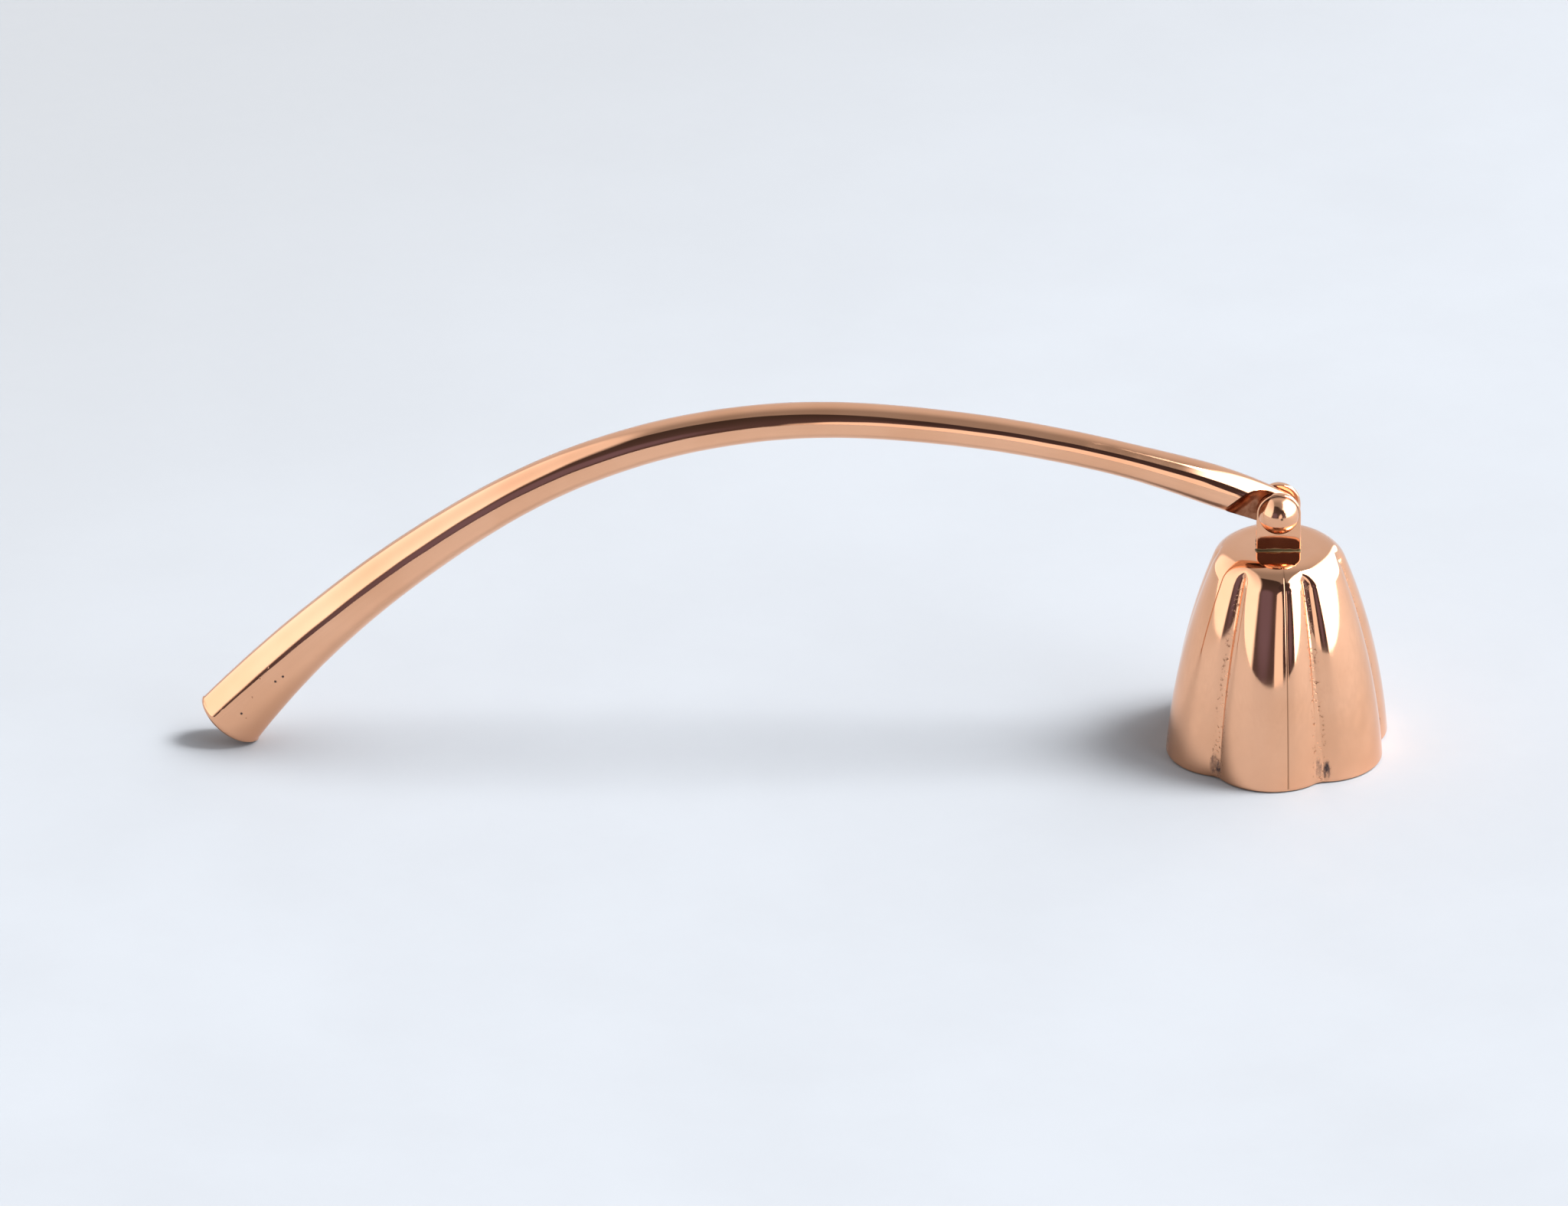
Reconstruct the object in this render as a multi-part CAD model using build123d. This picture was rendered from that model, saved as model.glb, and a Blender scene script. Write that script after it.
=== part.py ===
from build123d import *
import os
from math import acos, asin, atan2, cos, degrees, pi, radians, sin, sqrt

# Candle snuffer: a fluted bell that swings from a clevis on an arched, tapering handle.
# Millimetres, +Z up. The origin is the centre of the bell's mouth, on the table that it
# stands on. The handle runs towards -X, and the hinge pin lies along Y.

# Bell
mouth_radius = 20.0  # axis to the tips of the petals, at the rim
bell_height = 38.0  # table to the flat on top of the crown
bell_wall = 1.2
crown_flat_radius = 6.8  # flat seat in the middle of the crown
shoulder_radius = 5.5  # rounding between the crown and the side
side_lean = 21.5  # degrees that the side leans in where the shoulder begins
petal_count = 6
petal_turn = -6.3  # degrees from -Y to the middle of the front petal
valley_share = 0.885  # depth of a full valley: its radius over the petal tips' radius
groove_start_radius = 9.5  # where the valleys begin on the shoulder
groove_run = 4.0  # way down the shoulder in which a valley reaches its full depth
groove_steepening = 18.0  # degrees by which a valley's flanks are steeper near its top than at the rim
section_count = 32  # cross sections from the rim to the crown's flat

# Clevis, a strap folded to a U
strap_thickness = 1.0
strap_bend_radius = 0.3  # inside the fold
foot_edge_radius = 0.3  # outside the fold, which is hammered square
ear_radius = 3.8  # round top of an ear, and half the strap's width
tongue_gap = 2.8  # between the ears
pin_rise = 7.05  # crown to the hinge pin's axis

# Hinge pin and its cap, with equal domed heads
pin_radius = 1.5
head_radius = 3.55
head_height = 3.2
cap_bore_depth = 1.6
pin_end_gap = 0.1  # between the end of the pin and the bottom of the cap's bore

# Rivet that holds the clevis to the crown
rivet_radius = 0.8
rivet_head_radius = 2.4
rivet_head_height = 1.2
peened_radius = 1.05
peened_height = 0.45

# Fits
fixed_clearance = 0.02  # round pins in the holes that hold them
running_clearance = 0.05  # hinge pin in the tongue
side_clearance = 0.15  # tongue to each ear

# Handle: its centre line is three tangent arcs from the pin to the tip
neck_length = 73.5
neck_bend_radius = 213.0
arch_length = 68.4
arch_bend_radius = 106.7
grip_length = 62.9
grip_bend_radius = 191.0
neck_diameter = 5.9  # thinnest part of the rod
knuckle_diameter = 7.2  # swelling behind the tongue
grip_width = 12.4  # oval end, in the plane of the arch
grip_thickness = 8.2  # across that plane
tip_crown_radius = 12.0  # the end is slightly domed
tip_edge_radius = 0.6
# Share of the length from the pin, and of the growth from the neck to the knuckle
knuckle_swell_shares = ((0.0, 0.25), (0.03, 0.85), (0.055, 1.0), (0.095, 0.5), (0.13, 0.1), (0.185, 0.0))
# Share of the length from the pin, and of the growth from the neck to the grip's width and thickness
grip_swell_shares = (
    (0.25, 0.0, 0.0), (0.43, 0.075, 0.21), (0.56, 0.155, 0.435), (0.66, 0.25, 0.7),
    (0.76, 0.385, 1.05), (0.87, 0.56, 1.25), (0.94, 0.77, 1.2), (1.0, 1.0, 1.0),
)

# Tongue: two flats on the rod, each ending in a coved shoulder that slants down and back
shoulder_setback = 7.6  # pin's axis to the shoulders
shoulder_slant = 28.0  # degrees
cove_radius = 4.0

overrun = 2.0  # how far cutting shapes run past what they cut
settle_rounds = 7

# Worked out from the sizes above
pin_height = bell_height + pin_rise
clevis_depth = tongue_gap + 2 * strap_thickness
tongue_thickness = tongue_gap - 2 * side_clearance
petal_half_angle = 180.0 / petal_count
pin_axis = Axis((0, 0, pin_height), (0, 1, 0))
along_y = Rot(X=90)


def bell_profile(inset):
    """Evenly spaced sections from rim to crown: an arc's centre and radius, the angle on it, the valley's form."""
    lean = radians(side_lean)
    shoulder_z = bell_height - shoulder_radius
    end_r = crown_flat_radius + shoulder_radius * cos(lean)
    end_z = shoulder_z + shoulder_radius * sin(lean)
    # The side is an arc from the rim that runs smoothly into the shoulder.
    run_r = mouth_radius - end_r
    side_radius = (run_r**2 + end_z**2) / (2 * (end_z * sin(lean) - run_r * cos(lean)))
    side_r = end_r - side_radius * cos(lean)
    side_z = end_z - side_radius * sin(lean)
    foot = -overrun if inset else 0.0
    foot_angle = asin((foot - side_z) / (side_radius - inset))
    groove_angle = acos((groove_start_radius - crown_flat_radius) / shoulder_radius)
    side_length = side_radius * (lean - foot_angle)
    length = side_length + shoulder_radius * (pi / 2 - lean)
    groove_start = side_length + shoulder_radius * (groove_angle - lean)
    sections = []
    for step in range(section_count + 1):
        along = length * step / section_count
        run = min(max((groove_start - along) / groove_run, 0.0), 1.0)
        depth = run * run * (3 - 2 * run)
        valley = (depth, groove_steepening * depth * along / groove_start)
        if along < side_length:
            sections.append((side_r, side_z, side_radius, foot_angle + along / side_radius, valley))
        else:
            angle = lean + (along - side_length) / shoulder_radius
            sections.append((crown_flat_radius, shoulder_z, shoulder_radius, angle, valley))
    return sections


def petal_outline(section, inset):
    """One closed outline of the bell: a round petal after another, meeting in sharp valleys."""
    centre_r, centre_z, radius, angle, (depth, steepening) = section
    half = radians(petal_half_angle)
    tip = centre_r + radius * cos(angle)
    valley = tip * (1 - (1 - valley_share) * depth)
    centre = (tip**2 - valley**2) / (2 * (tip - valley * cos(half)))
    petal_radius = tip - centre - inset * cos(angle)
    valley = centre * cos(half) + sqrt(petal_radius**2 - (centre * sin(half)) ** 2)
    height = centre_z + (radius - inset) * sin(angle)
    # Slope of the petal's curve at its ends, for an arc about its centre or steeper, and the length of its handles
    swing = atan2(valley * sin(half), valley * cos(half) - centre) + radians(steepening)
    handle = (centre + petal_radius - valley * cos(half)) / sin(swing) * 4 / 3

    def petal_edge(middle):
        turned = Pos(0, 0, height) * Rot(Z=middle)
        ends = [Vector(side * valley * sin(half), -valley * cos(half)) for side in (-1, 1)]
        pulls = [Vector(-side * cos(swing), -sin(swing)) * handle for side in (-1, 1)]
        return turned * Bezier(ends[0], ends[0] + pulls[0], ends[1] + pulls[1], ends[1])

    return Face(Wire([petal_edge(petal_turn + 2 * petal_half_angle * petal) for petal in range(petal_count)]))


def fluted_body(inset):
    return loft([petal_outline(section, inset) for section in bell_profile(inset)])


def make_bell():
    rivet_hole = Pos(0, 0, bell_height) * Cylinder(rivet_radius + fixed_clearance, 2 * (bell_wall + overrun))
    return fluted_body(0.0) - fluted_body(bell_wall) - rivet_hole


def make_clevis():
    stand = (Align.CENTER, Align.CENTER, Align.MIN)
    width = 2 * ear_radius
    tall = pin_rise + ear_radius
    outside = Box(width, clevis_depth, tall, align=stand)
    outside = fillet(outside.edges().filter_by(Axis.X).group_by(Axis.Z)[0], foot_edge_radius)
    inside = Pos(0, 0, strap_thickness) * Box(width + overrun, tongue_gap, tall, align=stand)
    inside = fillet(inside.edges().filter_by(Axis.X).group_by(Axis.Z)[0], strap_bend_radius)
    ears = Box(width, clevis_depth, pin_rise, align=stand)
    ears += Pos(0, 0, pin_rise) * along_y * Cylinder(ear_radius, clevis_depth)
    pin_hole = Pos(0, 0, pin_rise) * along_y * Cylinder(pin_radius + fixed_clearance, clevis_depth + overrun)
    rivet_hole = Cylinder(rivet_radius + fixed_clearance, 2 * (strap_thickness + overrun))
    return Pos(0, 0, bell_height) * ((outside - inside) & ears - pin_hole - rivet_hole)


def dome(radius, height):
    """Round-topped head of the given radius, standing on Z = 0."""
    ball_radius = (radius**2 + height**2) / (2 * height)
    block = Box(2 * radius, 2 * radius, height, align=(Align.CENTER, Align.CENTER, Align.MIN))
    return Pos(0, 0, height - ball_radius) * Sphere(ball_radius) & block


def make_hinge_pin():
    shank_length = clevis_depth + cap_bore_depth - pin_end_gap
    shank = Cylinder(pin_radius, shank_length, align=(Align.CENTER, Align.CENTER, Align.MAX))
    pin = dome(head_radius, head_height) + shank
    return Pos(0, -clevis_depth / 2, pin_height) * along_y * pin


def make_pin_cap():
    bore = Cylinder(pin_radius + fixed_clearance, 2 * cap_bore_depth)
    return Pos(0, clevis_depth / 2, pin_height) * Rot(X=-90) * (dome(head_radius, head_height) - bore)


def make_crown_rivet():
    under = Rot(X=180) * dome(rivet_head_radius, rivet_head_height)
    grip = bell_wall + strap_thickness
    shank = Cylinder(rivet_radius, grip, align=(Align.CENTER, Align.CENTER, Align.MIN))
    peened = Pos(0, 0, grip) * dome(peened_radius, peened_height)
    return Pos(0, 0, bell_height - bell_wall) * (under + shank + peened)


def handle_line():
    """Centre line from the pin, which is at the origin, to the tip; it sets off level towards -X."""
    place, heading = (0.0, 0.0), 180.0
    stretches = (
        (neck_length, neck_bend_radius), (arch_length, arch_bend_radius), (grip_length, grip_bend_radius),
    )

    def at(along):
        (x, z), course, left = place, heading, along
        for index, (length, radius) in enumerate(stretches):
            last = index == len(stretches) - 1
            step = left if last else min(left, length)
            turn = degrees(step / radius)
            x += radius * (sin(radians(course + turn)) - sin(radians(course)))
            z += radius * (cos(radians(course)) - cos(radians(course + turn)))
            course += turn
            left -= step
        return Vector(x, 0, z), Vector(cos(radians(course)), 0, sin(radians(course)))

    return at


def make_handle():
    line = handle_line()
    length = neck_length + arch_length + grip_length

    def section(along, width, thickness):
        point, direction = line(along)
        return Plane(point, x_dir=(0, 1, 0), z_dir=direction) * Ellipse(thickness / 2, width / 2)

    growth = knuckle_diameter - neck_diameter
    nose_diameter = neck_diameter + growth * knuckle_swell_shares[0][1]
    sections = [section(-nose_diameter / 2 - overrun, nose_diameter, nose_diameter)]
    for along, swell in knuckle_swell_shares:
        sections.append(section(along * length, neck_diameter + growth * swell, neck_diameter + growth * swell))
    for along, widen, thicken in grip_swell_shares:
        width = neck_diameter + (grip_width - neck_diameter) * widen
        thickness = neck_diameter + (grip_thickness - neck_diameter) * thicken
        sections.append(section(along * length, width, thickness))
    sections.append(section(length + overrun, grip_width, grip_thickness))
    rod = loft(sections)

    # Domed tip
    tip, direction = line(length)
    end_plane = Plane(tip - direction * tip_crown_radius, x_dir=(0, 1, 0), z_dir=direction)
    end_block = Box(2 * grip_width, 2 * grip_width, tip_crown_radius + 2 * overrun,
                    align=(Align.CENTER, Align.CENTER, Align.MIN))
    rod -= end_plane * (end_block - along_y * Sphere(tip_crown_radius))
    tip_face = rod.faces().filter_by(GeomType.SPHERE)[0]
    rod = fillet(tip_face.edges(), tip_edge_radius)

    # Round end of the tongue, about the pin
    nose_block = Box(nose_diameter + 2 * overrun, 2 * knuckle_diameter, 2 * knuckle_diameter,
                     align=(Align.MIN, Align.CENTER, Align.CENTER))
    rod -= nose_block - along_y * Cylinder(nose_diameter / 2, 2 * knuckle_diameter)

    # Flats with coved shoulders, one on each side
    reach = 2 * (knuckle_diameter + shoulder_setback)
    cutter = Box(reach, knuckle_diameter, 2 * reach, align=(Align.MIN, Align.MIN, Align.CENTER))
    cove_edge = cutter.edges().filter_by(Axis.Z).sort_by(Axis.Y)[:2].sort_by(Axis.X)[0]
    cutter = fillet(cove_edge, cove_radius)
    cutter = Rot(Y=shoulder_slant) * Pos(-shoulder_setback, tongue_thickness / 2, 0) * cutter
    rod -= cutter
    rod -= mirror(cutter, about=Plane.XZ)
    rod -= along_y * Cylinder(pin_radius + running_clearance, 2 * knuckle_diameter)
    return rest_on_table(Pos(0, 0, pin_height) * rod)


def rest_on_table(handle):
    """Lets the handle down about the pin until its tip touches the table."""
    for _ in range(settle_rounds):
        box = handle.bounding_box()
        handle = handle.rotate(pin_axis, degrees(box.min.Z / box.min.X))
    return handle


nodes = {
    "handle": make_handle(),
    "bell": make_bell(),
    "clevis": make_clevis(),
    "hinge_pin": make_hinge_pin(),
    "hinge_pin_cap": make_pin_cap(),
    "crown_rivet": make_crown_rivet(),
}

os.makedirs("parts", exist_ok=True)
for name, shape in nodes.items():
    shape.label = name
    export_step(shape, f"parts/{name}.step")
    box = shape.bounding_box()
    print(f"{name}: X {box.min.X:.2f} to {box.max.X:.2f}, Z {box.min.Z:.3f} to {box.max.Z:.2f}, "
          f"volume {shape.volume:.1f}, valid {shape.is_valid}")
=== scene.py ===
from math import acos, asin, cos, pi, radians, sin
import bmesh
import bpy
import numpy as np
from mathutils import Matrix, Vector


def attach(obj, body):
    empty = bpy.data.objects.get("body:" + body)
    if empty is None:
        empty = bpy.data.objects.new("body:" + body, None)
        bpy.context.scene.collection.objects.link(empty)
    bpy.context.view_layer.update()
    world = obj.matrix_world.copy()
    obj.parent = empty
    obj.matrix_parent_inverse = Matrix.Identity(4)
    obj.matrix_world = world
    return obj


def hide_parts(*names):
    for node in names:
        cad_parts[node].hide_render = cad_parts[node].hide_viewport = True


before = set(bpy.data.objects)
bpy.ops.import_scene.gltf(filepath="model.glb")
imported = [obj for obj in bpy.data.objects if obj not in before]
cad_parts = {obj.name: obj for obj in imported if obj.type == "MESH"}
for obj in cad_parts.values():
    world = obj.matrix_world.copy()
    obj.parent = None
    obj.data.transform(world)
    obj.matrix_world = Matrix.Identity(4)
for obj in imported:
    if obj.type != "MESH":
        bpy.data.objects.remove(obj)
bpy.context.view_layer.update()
mm = 0.001  # the settings below are in millimetres and degrees
weldReach = 0.0005  # nearer points become one
print("frame loaded:", ", ".join(sorted(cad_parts)))


def ringFaces(rows, columns, closeRows=False):
    # quads between rings of points, each ring closed on itself
    faces = []
    for row in range(rows if closeRows else rows - 1):
        here, there = row * columns, (row + 1) % rows * columns
        for column in range(columns):
            after = (column + 1) % columns
            faces.append((here + column, here + after, there + after, there + column))
    return faces


def makePiece(name, points, faces, crease=35, weld=True):
    mesh = bpy.data.meshes.new(name)
    mesh.from_pydata((np.asarray(points) * mm).tolist(), [], faces)
    shape = bmesh.new()
    shape.from_mesh(mesh)
    if weld:
        bmesh.ops.remove_doubles(shape, verts=shape.verts, dist=weldReach * mm)
    bmesh.ops.recalc_face_normals(shape, faces=shape.faces)
    shape.to_mesh(mesh)
    shape.free()
    mesh.shade_smooth()
    mesh.set_sharp_from_angle(angle=radians(crease))
    piece = bpy.data.objects.new(name, mesh)
    bpy.context.scene.collection.objects.link(piece)
    return piece


def cutAway(piece, cutter, crease=35):
    # takes the cutter's shape out of a piece, and removes the cutter
    cut = piece.modifiers.new("cut", "BOOLEAN")
    cut.object = cutter
    cut.operation = "DIFFERENCE"
    cut.solver = "EXACT"
    bpy.context.view_layer.update()
    result = bpy.data.meshes.new_from_object(piece.evaluated_get(bpy.context.evaluated_depsgraph_get()))
    piece.modifiers.clear()
    old, spent = piece.data, cutter.data
    result.name = old.name
    piece.data = result
    bpy.data.objects.remove(cutter)
    for mesh in (old, spent):
        bpy.data.meshes.remove(mesh)
    result.shade_smooth()
    result.set_sharp_from_angle(angle=radians(crease))


def drill(piece, start, end, radius, crease=35, sides=64):
    # cuts a round hole between two points
    start, end = np.array(start, float), np.array(end, float)
    ahead = (end - start) / np.linalg.norm(end - start)
    side = np.array([0.0, 0.0, 1.0]) if abs(ahead[2]) < 0.5 else np.array([1.0, 0.0, 0.0])
    turns = np.linspace(0, 2 * pi, sides, endpoint=False)
    around = radius * (np.outer(np.cos(turns), side) + np.outer(np.sin(turns), np.cross(ahead, side)))
    faces = ringFaces(2, sides) + [tuple(range(sides)), tuple(range(2 * sides - 1, sides - 1, -1))]
    cutAway(piece, makePiece("drill", np.concatenate([start + around, end + around]), faces), crease)


def lathe(name, profile, place, axis, columns=96, crease=35):
    # turns a profile of (radius, height) about an axis; both its ends lie on the axis
    side = np.array([0.0, 0.0, 1.0]) if abs(axis[2]) < 0.5 else np.array([1.0, 0.0, 0.0])
    across = np.cross(axis, side)
    turns = np.linspace(0, 2 * pi, columns, endpoint=False)
    around = np.outer(np.cos(turns), side) + np.outer(np.sin(turns), across)
    points = [np.array(place) + np.outer(np.full(columns, height), axis) + radius * around
              for radius, height in profile]
    return makePiece(name, np.concatenate(points), ringFaces(len(profile), columns), crease)


def domeProfile(radius, height, edge, steps=20):
    # round-topped head from its foot to its top, the foot's edge slightly broken
    ball = (radius**2 + height**2) / (2 * height)
    low = asin((ball - height) / ball) + edge / ball
    profile = [(radius - edge, 0.0)]
    for step in range(steps + 1):
        angle = low + (pi / 2 - low) * step / steps
        profile.append((ball * cos(angle), height - ball + ball * sin(angle)))
    return profile


# Bell: a fluted cup of thin sheet
bellSettings = {
    "mouthRadius": 20.0, "height": 38.0, "wall": 1.2, "crownFlat": 6.8, "shoulderRadius": 5.5,
    "sideLean": 21.5, "petals": 6, "petalTurn": -6.3, "valleyShare": 0.885, "grooveStart": 9.2,
    "grooveRun": 3.3, "grooveSteepening": 18.0, "valleyRise": 0.35, "valleyLeast": 0.25, "valleyReach": 0.9,
    "valleyLift": 0.3, "rimRounding": 0.5, "rivetHole": 0.82,
    "seamTurn": 5.0, "seamDip": 0.04, "seamReach": 1.1, "seamGroove": 0.05, "seamHalfWidth": 0.12, "seamFade": 6.0,
    "seamStep": 0.15, "seamSteps": 6, "columnsBesideSeam": (30, 18), "seamCrowding": 1.5,
    "rowsUp": 190, "rowsInside": 70, "columnsPerPetal": 45, "trialPlaces": 401,
}


def petalTurns(shape, edge, petal):
    # angles of one petal's columns from its middle, for rows whose petals end at the angles in edge
    if petal:
        share = np.linspace(-1, 1, shape["columnsPerPetal"])
        return edge[:, None] * (1.5 * share - 0.5 * share**3)
    seam = radians(shape["seamTurn"] - shape["petalTurn"])
    beside = seam + radians(shape["seamStep"]) * np.arange(-shape["seamSteps"], shape["seamSteps"] + 1)
    before, after = (np.linspace(0, 1, count)[:-1]**shape["seamCrowding"] for count in shape["columnsBesideSeam"])
    left = -edge[:, None] + (beside[0] + edge[:, None]) * before
    right = edge[:, None] + (beside[-1] - edge[:, None]) * after[::-1]
    return np.concatenate([left, np.repeat(beside[None, :], len(edge), 0), right], 1)


def bellSheet(shape, inset, along):
    # points of the outer face, or of the face inset from it, at shares of its length from the rim,
    # and how far each lies in a valley or on the seam
    lean = radians(shape["sideLean"])
    shoulder, flat = shape["shoulderRadius"], shape["crownFlat"]
    shoulderZ = shape["height"] - shoulder
    endR, endZ = flat + shoulder * cos(lean), shoulderZ + shoulder * sin(lean)
    runR = shape["mouthRadius"] - endR
    sideRadius = (runR**2 + endZ**2) / (2 * (endZ * sin(lean) - runR * cos(lean)))
    sideR, sideZ = endR - sideRadius * cos(lean), endZ - sideRadius * sin(lean)
    foot = asin(-sideZ / (sideRadius - inset))
    sideLength = sideRadius * (lean - foot)
    length = sideLength + shoulder * (pi / 2 - lean)
    grooveTop = sideLength + shoulder * (acos((shape["grooveStart"] - flat) / shoulder) - lean)
    along = along * length
    onSide = along < sideLength
    angle = np.where(onSide, foot + along / sideRadius, lean + (along - sideLength) / shoulder)
    radius = np.where(onSide, sideRadius, shoulder)
    tip = np.where(onSide, sideR, flat) + radius * np.cos(angle)
    height = np.where(onSide, sideZ, shoulderZ) + (radius - inset) * np.sin(angle)
    run = np.clip((grooveTop - along) / shape["grooveRun"], 0, 1)
    depth = run * run * (3 - 2 * run)

    # each petal is one smooth curve between two valleys, with steeper flanks towards the top
    half = radians(180 / shape["petals"])
    valley = tip * (1 - (1 - shape["valleyShare"]) * depth)
    centre = (tip**2 - valley**2) / (2 * (tip - valley * cos(half)))
    petalRadius = tip - centre - inset * np.cos(angle)
    valley = centre * cos(half) + np.sqrt(petalRadius**2 - (centre * sin(half))**2)
    swing = np.arctan2(valley * sin(half), valley * cos(half) - centre)
    swing = swing + radians(shape["grooveSteepening"]) * depth * along / grooveTop
    bulge = centre + petalRadius - valley * cos(half)

    def petalAt(place):
        # place runs from -1 in one valley to 1 in the next
        across = (valley * sin(half))[:, None] * place * (3 - place**2) / 2
        across = across - (bulge / np.tan(swing))[:, None] * place * (1 - place**2)
        outward = (valley * cos(half))[:, None] + bulge[:, None] * (1 - place**2)
        return np.arctan2(across, outward), np.hypot(across, outward)

    # a narrow flat strip, wider towards the rim, lies along the bottom of each valley
    places = np.linspace(-1, 1, shape["trialPlaces"])
    turns, reaches = petalAt(places[None, :])
    rise = reaches * np.cos(half - turns)
    lift = shape["valleyRise"] * np.clip(1 - along / grooveTop, 0, 1)
    lift = np.minimum(lift, shape["valleyLift"] * (rise.max(1) - valley))
    edge = np.zeros(len(along))
    for row in range(len(along)):
        crest = rise[row].argmax()
        raised = 0 if inset else lift[row]
        edge[row] = np.interp(-valley[row] - raised, -rise[row, crest:], turns[row, crest:])
    edge = np.minimum(edge, half - radians(shape["valleyLeast"]))

    fade = np.clip((length - along) / shape["seamFade"], 0, 1)[:, None]
    allTurns, allReaches, valleyMask, seamMask = [], [], [], []
    for petal in range(shape["petals"]):
        wanted = petalTurns(shape, edge, petal)
        found = [np.interp(wanted[row], turns[row], places) for row in range(len(along))]
        turn, reach = petalAt(np.stack(found))
        line = np.zeros_like(turn)
        if petal == 0 and not inset:
            # seam down the front petal: a slight dip with a fine line along it
            away = (turn - radians(shape["seamTurn"] - shape["petalTurn"])) * reach
            reach = reach - fade * shape["seamDip"] * np.exp(-np.abs(away) / shape["seamReach"])
            line = fade * np.exp(-(away / shape["seamHalfWidth"])**2)
            reach = reach - shape["seamGroove"] * line
        bottom = reach[:, -1:] * np.cos(half - turn[:, -1:])
        turn = np.concatenate([turn, np.full((len(along), 1), half)], 1)
        reach = np.concatenate([reach, bottom], 1)
        allTurns.append(turn + radians(shape["petalTurn"]) + 2 * half * petal)
        allReaches.append(reach)
        beyond = bottom * (np.minimum(np.abs(turn), edge[:, None]) - edge[:, None])
        valleyMask.append(np.exp(-(beyond / shape["valleyReach"])**2) * depth[:, None])
        seamMask.append(np.concatenate([line, np.zeros((len(along), 1))], 1))
    allTurns, allReaches = np.concatenate(allTurns, 1), np.concatenate(allReaches, 1)
    points = np.stack([allReaches * np.sin(allTurns), -allReaches * np.cos(allTurns),
                       np.repeat(height[:, None], allTurns.shape[1], 1)], -1)
    return points, {"valley": np.concatenate(valleyMask, 1), "seam": np.concatenate(seamMask, 1)}


def makeBell(shape):
    edge = shape["rimRounding"]
    start = edge / shape["height"]
    outer, masks = bellSheet(shape, 0.0, np.linspace(start, 1, shape["rowsUp"]))
    inner, _ = bellSheet(shape, shape["wall"], np.linspace(1, start, shape["rowsInside"]))
    outerFoot, innerFoot = (bellSheet(shape, inset, np.zeros(1))[0][0] for inset in (0.0, shape["wall"]))

    def ring(source, radius, height):
        outward = source[:, :2] / np.linalg.norm(source[:, :2], axis=1, keepdims=True)
        return np.column_stack([radius * outward, np.full(len(source), height)])

    top, under = shape["height"], shape["height"] - shape["wall"]
    hole = shape["rivetHole"]
    crown = [ring(outer[-1], radius, top) for radius in np.linspace(shape["crownFlat"], hole, 9)[1:]]
    crown += [ring(inner[0], radius, under) for radius in np.linspace(hole, shape["crownFlat"], 5)[:-1]]

    def rounded(first, corner, last, steps=8):
        shares = np.linspace(0, 1, steps + 1)[1:]
        return [first * (1 - t)**2 + 2 * corner * t * (1 - t) + last * t**2 for t in shares]

    share = edge / shape["wall"]
    rim = rounded(inner[-1], innerFoot, innerFoot + (outerFoot - innerFoot) * share)
    rim += rounded(outer[0], outerFoot, outerFoot + (innerFoot - outerFoot) * share)[::-1]
    rows = list(outer) + crown + list(inner) + rim
    points = np.concatenate(rows)
    faces = ringFaces(len(rows), outer.shape[1], closeRows=True)
    bell = makePiece("bellFluted", points, faces, crease=20, weld=False)
    for name, mask in masks.items():
        values = np.zeros(len(points), dtype=np.float32)
        values[:mask.size] = mask.ravel()
        bell.data.attributes.new(name, "FLOAT", "POINT").data.foreach_set("value", values)
    return bell


bell = makeBell(bellSettings)
print("bell formed:", len(bell.data.polygons), "faces")

# Clevis: a strap with round ends, folded square to a U, its edges slightly rounded
clevisSettings = {
    "thickness": 1.0, "bendInside": 0.3, "bendOutside": 0.3, "earRadius": 3.8, "gap": 2.8, "pinRise": 7.05,
    "edgeRounding": 0.2, "pinHole": 1.52, "rivetHole": 0.82, "foot": bellSettings["height"],
}


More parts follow.
